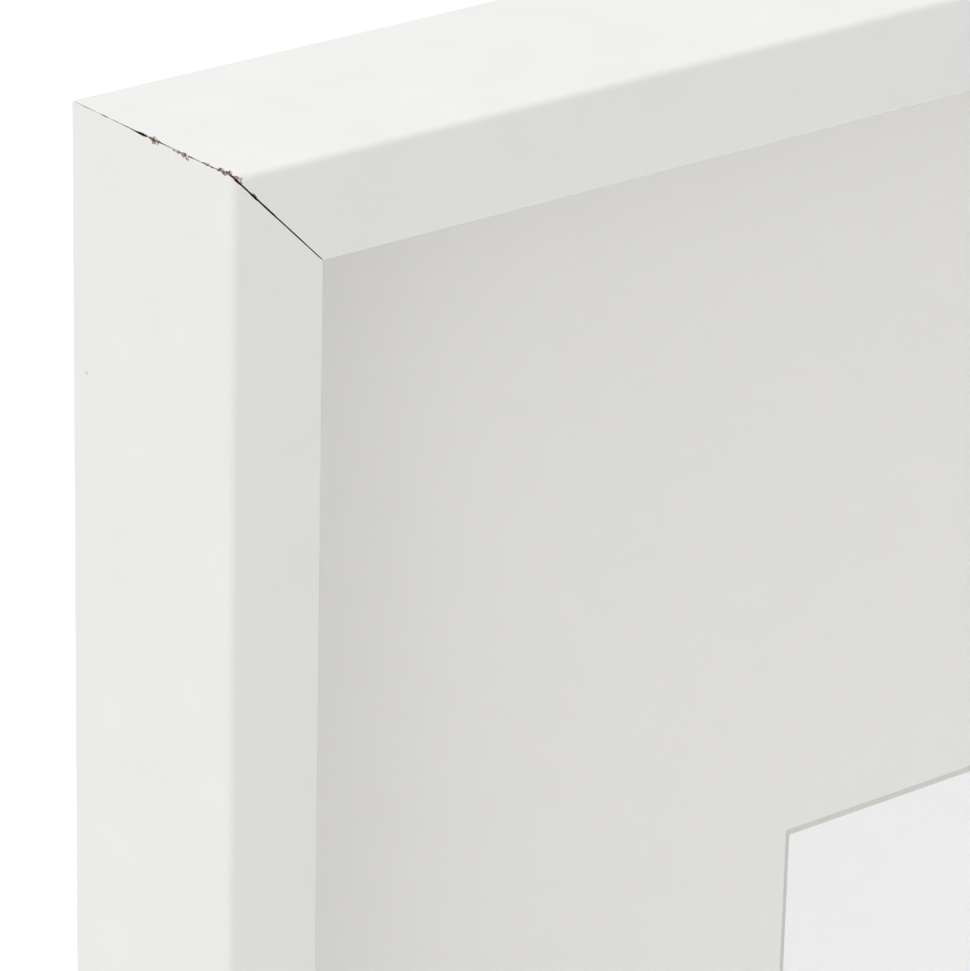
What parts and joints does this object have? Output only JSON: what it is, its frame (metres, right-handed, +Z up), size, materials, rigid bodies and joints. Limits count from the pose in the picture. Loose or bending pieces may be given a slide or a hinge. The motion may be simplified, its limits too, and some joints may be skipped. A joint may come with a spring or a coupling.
{
  "type": "shadow box",
  "caption": "Deep white wall or shelf box for flat and shallow objects: mitred rails, clear front sheet, spacers, a window mat, display board and a back panel under bendable tabs.",
  "frame": {"origin": "under the middle of the box, on the surface that it stands on", "axes": "+X to the right seen from the front, +Y from the front to the back, +Z up"},
  "size_m": [0.526, 0.0487, 0.626],
  "materials": {
    "white_foil": "white foil on fibreboard, satin, with a fine grain",
    "spacer_foil": "white foil on fibreboard strip, satin",
    "clear_acrylic": "clear, gloss",
    "mat_card": "warm white matt card with a white core",
    "display_card": "white matt card",
    "hardboard": "brown hardboard, smooth, slightly fibrous",
    "tab_steel": "cold rolled spring strip, satin",
    "zinc_steel": "zinc plated, bright",
    "nail_steel": "bare steel strip",
    "felt": "pressed felt, light grey"
  },
  "bodies": {
    "frame": {"top_rail": "white_foil", "bottom_rail": "white_foil", "left_stile": "white_foil", "right_stile": "white_foil", "corner_nail_bottom_left_outer": "nail_steel", "corner_nail_bottom_left_inner": "nail_steel", "corner_nail_bottom_right_outer": "nail_steel", "corner_nail_bottom_right_inner": "nail_steel", "corner_nail_top_right_outer": "nail_steel", "corner_nail_top_right_inner": "nail_steel", "corner_nail_top_left_outer": "nail_steel", "corner_nail_top_left_inner": "nail_steel", "hanger_strap_left": "zinc_steel", "hanger_screw_left": "zinc_steel", "wall_bumper_left": "felt", "hanger_strap_right": "zinc_steel", "hanger_screw_right": "zinc_steel", "wall_bumper_right": "felt"},
    "back_panel": {"back_panel": "hardboard"},
    "display_board": {"display_board": "display_card"},
    "mat_board": {"mat_board": "mat_card"},
    "spacers": {"spacer_bottom": "spacer_foil", "spacer_top": "spacer_foil", "spacer_left": "spacer_foil", "spacer_right": "spacer_foil"},
    "glazing": {"glazing_sheet": "clear_acrylic"},
    "ring_left": {"hanger_ring_left": "zinc_steel"},
    "ring_right": {"hanger_ring_right": "zinc_steel"},
    "tab_bottom_1": {"tab_bottom_1": "tab_steel"},
    "tab_bottom_2": {"tab_bottom_2": "tab_steel"},
    "tab_top_1": {"tab_top_1": "tab_steel"},
    "tab_top_2": {"tab_top_2": "tab_steel"},
    "tab_left_1": {"tab_left_1": "tab_steel"},
    "tab_left_2": {"tab_left_2": "tab_steel"},
    "tab_left_3": {"tab_left_3": "tab_steel"},
    "tab_right_1": {"tab_right_1": "tab_steel"},
    "tab_right_2": {"tab_right_2": "tab_steel"},
    "tab_right_3": {"tab_right_3": "tab_steel"}
  },
  "joints": [
    {"name": "back_panel_lift", "type": "slide", "parent": "frame", "child": "back_panel", "axis": [0, 1, 0], "range_m": [0, 0.16]},
    {"name": "display_board_lift", "type": "slide", "parent": "frame", "child": "display_board", "axis": [0, 1, 0], "range_m": [0, 0.128]},
    {"name": "mat_board_lift", "type": "slide", "parent": "frame", "child": "mat_board", "axis": [0, 1, 0], "range_m": [0, 0.096]},
    {"name": "spacers_lift", "type": "slide", "parent": "frame", "child": "spacers", "axis": [0, 1, 0], "range_m": [0, 0.0672]},
    {"name": "glazing_lift", "type": "slide", "parent": "frame", "child": "glazing", "axis": [0, 1, 0], "range_m": [0, 0.048]},
    {"name": "ring_left_swing", "type": "hinge", "parent": "frame", "child": "ring_left", "pos_m": [-0.257, 0.0225, 0.426], "axis": [1, 0, 0], "range_deg": [0, 180]},
    {"name": "ring_right_swing", "type": "hinge", "parent": "frame", "child": "ring_right", "pos_m": [0.257, 0.0225, 0.426], "axis": [1, 0, 0], "range_deg": [0, 180]},
    {"name": "tab_bottom_1_bend", "type": "hinge", "parent": "frame", "child": "tab_bottom_1", "pos_m": [-0.1315, 0.0172, 0.0123], "axis": [-1, 0, 0], "range_deg": [0, 90], "deforming": ["tab_bottom_1"]},
    {"name": "tab_bottom_2_bend", "type": "hinge", "parent": "frame", "child": "tab_bottom_2", "pos_m": [0.1315, 0.0172, 0.0123], "axis": [-1, 0, 0], "range_deg": [0, 90], "deforming": ["tab_bottom_2"]},
    {"name": "tab_top_1_bend", "type": "hinge", "parent": "frame", "child": "tab_top_1", "pos_m": [0.1315, 0.0172, 0.6137], "axis": [1, 0, 0], "range_deg": [0, 90], "deforming": ["tab_top_1"]},
    {"name": "tab_top_2_bend", "type": "hinge", "parent": "frame", "child": "tab_top_2", "pos_m": [-0.1315, 0.0172, 0.6137], "axis": [1, 0, 0], "range_deg": [0, 90], "deforming": ["tab_top_2"]},
    {"name": "tab_left_1_bend", "type": "hinge", "parent": "frame", "child": "tab_left_1", "pos_m": [-0.2507, 0.0172, 0.52167], "axis": [0, 0, 1], "range_deg": [0, 90], "deforming": ["tab_left_1"]},
    {"name": "tab_left_2_bend", "type": "hinge", "parent": "frame", "child": "tab_left_2", "pos_m": [-0.2507, 0.0172, 0.313], "axis": [0, 0, 1], "range_deg": [0, 90], "deforming": ["tab_left_2"]},
    {"name": "tab_left_3_bend", "type": "hinge", "parent": "frame", "child": "tab_left_3", "pos_m": [-0.2507, 0.0172, 0.10433], "axis": [0, 0, 1], "range_deg": [0, 90], "deforming": ["tab_left_3"]},
    {"name": "tab_right_1_bend", "type": "hinge", "parent": "frame", "child": "tab_right_1", "pos_m": [0.2507, 0.0172, 0.10433], "axis": [0, 0, -1], "range_deg": [0, 90], "deforming": ["tab_right_1"]},
    {"name": "tab_right_2_bend", "type": "hinge", "parent": "frame", "child": "tab_right_2", "pos_m": [0.2507, 0.0172, 0.313], "axis": [0, 0, -1], "range_deg": [0, 90], "deforming": ["tab_right_2"]},
    {"name": "tab_right_3_bend", "type": "hinge", "parent": "frame", "child": "tab_right_3", "pos_m": [0.2507, 0.0172, 0.52167], "axis": [0, 0, -1], "range_deg": [0, 90], "deforming": ["tab_right_3"]}
  ],
  "couplings": [
    {"joint": "display_board_lift", "follows": "back_panel_lift", "ratio": 0.8},
    {"joint": "mat_board_lift", "follows": "back_panel_lift", "ratio": 0.6},
    {"joint": "spacers_lift", "follows": "back_panel_lift", "ratio": 0.42},
    {"joint": "glazing_lift", "follows": "back_panel_lift", "ratio": 0.3}
  ]
}
